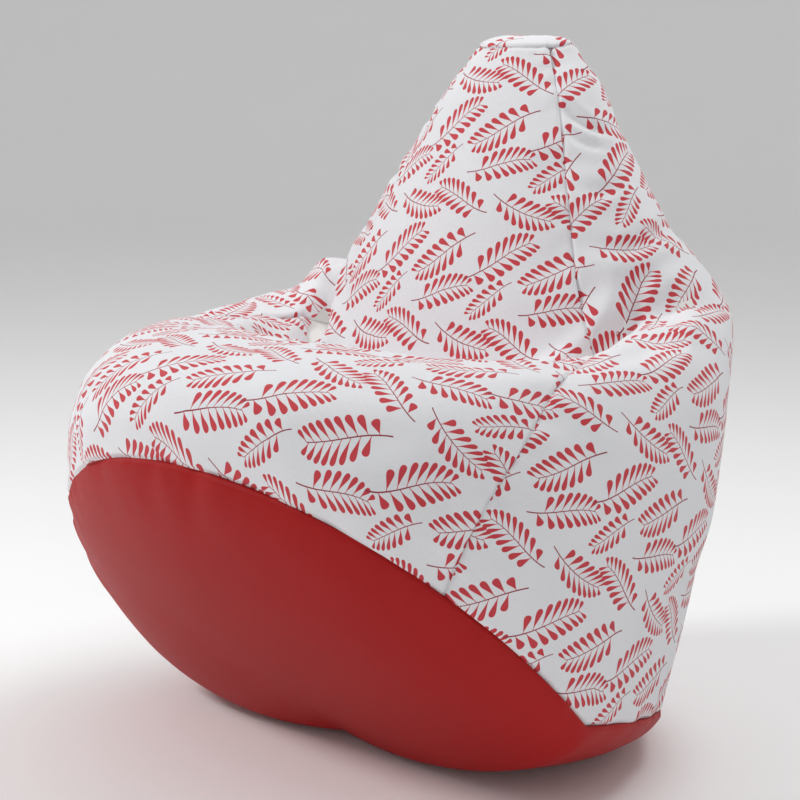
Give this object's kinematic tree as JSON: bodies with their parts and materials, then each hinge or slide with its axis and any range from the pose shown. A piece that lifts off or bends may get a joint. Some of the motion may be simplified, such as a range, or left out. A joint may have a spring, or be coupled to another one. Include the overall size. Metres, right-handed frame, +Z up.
{
  "type": "bean bag chair",
  "caption": "Pear-shaped bean bag chair leaning back, with a printed cover in gores, a plain round base, a liner, a bead fill and zips.",
  "frame": {"origin": "on the floor, under the middle of the bag's bounding box", "axes": "+Z up, -Y the way the seat faces, +X to the right of someone who faces the chair"},
  "size_m": [0.9234, 0.9396, 1.0039],
  "materials": {
    "printed_cloth": "matte",
    "red_cloth": "satin",
    "liner_cloth": "matte",
    "beads": "matte",
    "zip_tape": "matte",
    "zip_nylon": "satin",
    "zip_metal": "satin"
  },
  "bodies": {
    "bag": {"bead_fill": "beads", "cover_base_panel": "red_cloth", "cover_front_panel": "printed_cloth", "cover_left_back_panel": "printed_cloth", "cover_left_side_panel": "printed_cloth", "cover_right_back_panel": "printed_cloth", "cover_right_side_panel": "printed_cloth", "cover_top_cap": "printed_cloth", "liner_base_panel": "liner_cloth", "liner_front_panel": "liner_cloth", "liner_left_back_panel": "liner_cloth", "liner_left_side_panel": "liner_cloth", "liner_right_back_panel": "liner_cloth", "liner_right_side_panel": "liner_cloth", "liner_top_cap": "liner_cloth", "liner_zip_bottom_stop": "zip_metal", "liner_zip_chain_left": "zip_nylon", "liner_zip_chain_right": "zip_nylon", "liner_zip_tape_left": "zip_tape", "liner_zip_tape_right": "zip_tape", "liner_zip_top_stop_left": "zip_metal", "liner_zip_top_stop_right": "zip_metal", "zip_bottom_stop": "zip_metal", "zip_chain_left": "zip_nylon", "zip_chain_right": "zip_nylon", "zip_tape_left": "zip_tape", "zip_tape_right": "zip_tape", "zip_top_stop_left": "zip_metal", "zip_top_stop_right": "zip_metal"},
    "outer_zip_slider": {"zip_slider": "zip_metal"},
    "outer_zip_pull": {"zip_pull": "zip_metal"},
    "liner_zip_slider": {"liner_zip_slider": "zip_metal"}
  },
  "joints": [
    {"name": "outer_zip_slide", "type": "slide", "parent": "bag", "child": "outer_zip_slider", "axis": [0, -0.1961, -0.9806], "range_m": [0, 0.368]},
    {"name": "outer_zip_pull_hinge", "type": "hinge", "parent": "outer_zip_slider", "child": "outer_zip_pull", "pos_m": [0, 0.43466, 0.44701], "axis": [1, 0, 0], "range_deg": [-7, 155]},
    {"name": "liner_zip_slide", "type": "slide", "parent": "bag", "child": "liner_zip_slider", "axis": [0, -0.1961, -0.9806], "range_m": [0, 0.328]}
  ]
}
